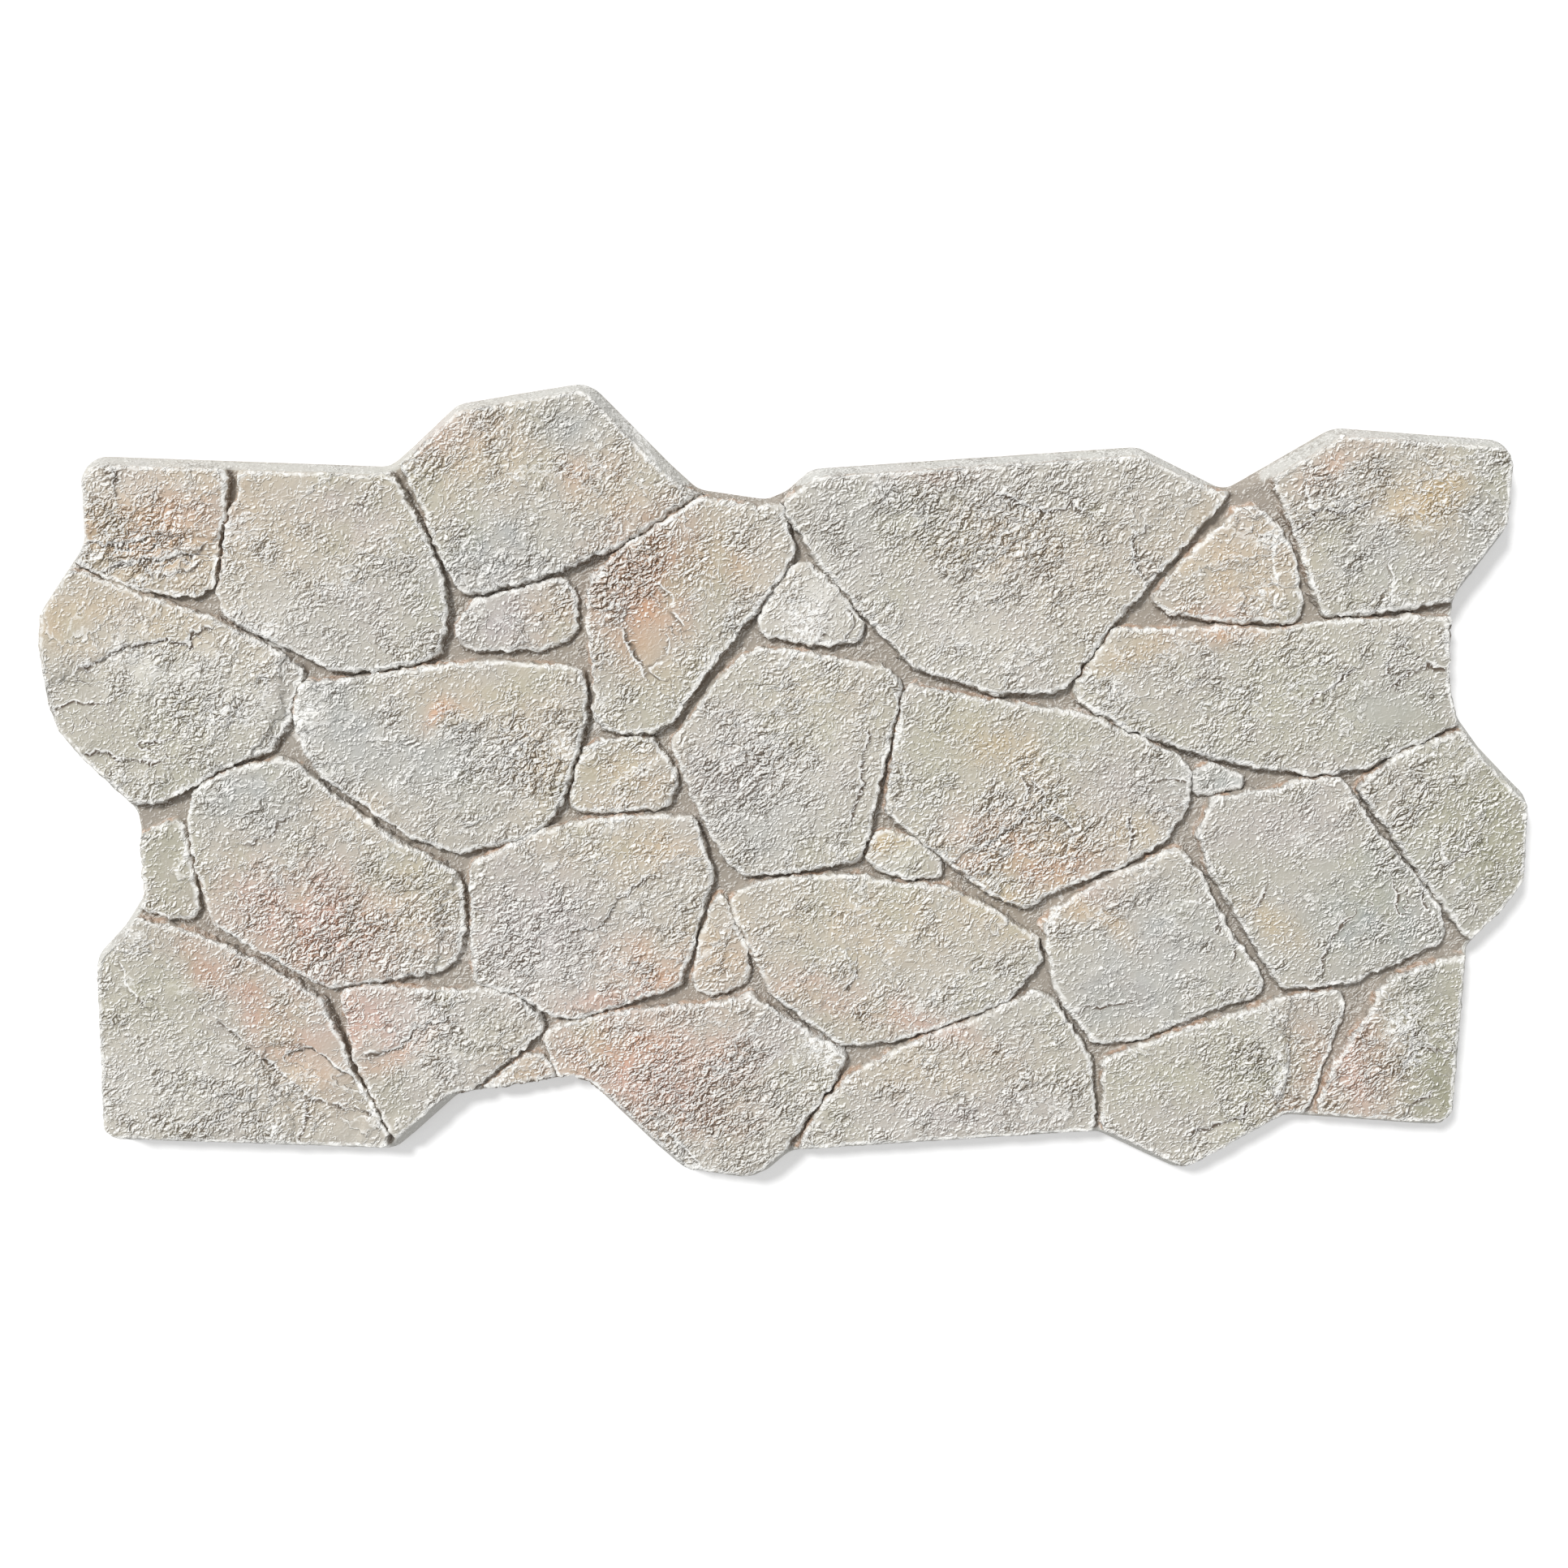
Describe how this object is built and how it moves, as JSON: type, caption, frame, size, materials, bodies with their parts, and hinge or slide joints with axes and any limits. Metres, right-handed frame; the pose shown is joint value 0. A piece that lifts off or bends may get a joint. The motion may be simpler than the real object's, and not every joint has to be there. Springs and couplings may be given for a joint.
{
  "type": "faux stone wall panel",
  "caption": "Rectangular cladding panel moulded as flat irregular stones in a mortar bed, with interlocking wavy edges, a flat back and a painted sanded face.",
  "frame": {"origin": "middle of the panel's outline, on the flat back face", "axes": "+X along the courses to the right end, +Y up the wall towards the top edge, +Z out of the wall through the stones"},
  "size_m": [1.0608, 0.5738, 0.0262],
  "materials": {
    "coated_foam": "matt, sanded"
  },
  "bodies": {
    "root": {"stone_panel": "coated_foam"}
  },
  "joints": []
}
